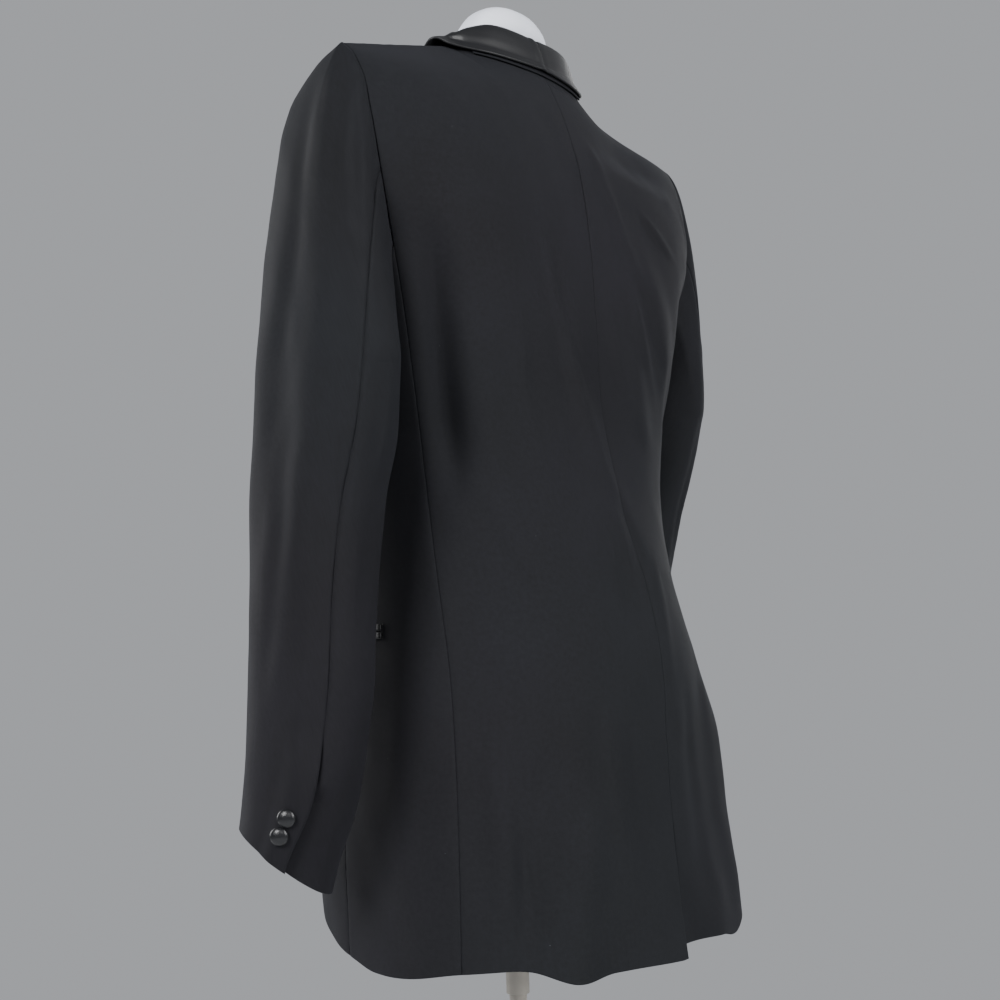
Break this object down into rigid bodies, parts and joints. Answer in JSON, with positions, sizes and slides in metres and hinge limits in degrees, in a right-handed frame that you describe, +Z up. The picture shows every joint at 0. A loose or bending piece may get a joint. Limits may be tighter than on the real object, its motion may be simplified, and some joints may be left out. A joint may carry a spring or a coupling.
{
  "type": "tuxedo jacket on dress form",
  "caption": "Black wool dinner jacket with a satin shawl collar and a centre back vent, worn by a white limbless dress form on a pole and round base.",
  "frame": {"origin": "on the floor, under the middle of the base, on the axis of the pole", "axes": "+Z up along the pole, +Y towards the wearer's back, +X towards the wearer's left"},
  "size_m": [0.6017, 0.319, 1.5505],
  "materials": {
    "wool": "matte",
    "satin": "satin",
    "form": "matte",
    "steel": "satin"
  },
  "bodies": {
    "root": {"back_left": "wool", "side_left": "wool", "front_left": "wool", "sleeve_left_upper": "wool", "sleeve_left_under": "wool", "shawl_left": "satin", "cuff_button_left_top": "satin", "cuff_button_left_low": "satin", "pocket_jet_left_upper": "satin", "pocket_jet_left_lower": "satin", "back_right": "wool", "side_right": "wool", "front_right": "wool", "sleeve_right_upper": "wool", "sleeve_right_under": "wool", "shawl_right": "satin", "cuff_button_right_top": "satin", "cuff_button_right_low": "satin", "pocket_jet_right_upper": "satin", "pocket_jet_right_lower": "satin", "undercollar": "wool", "front_button": "satin", "form_torso": "form", "form_tube": "steel", "form_pole": "steel", "form_base": "steel"}
  },
  "joints": []
}
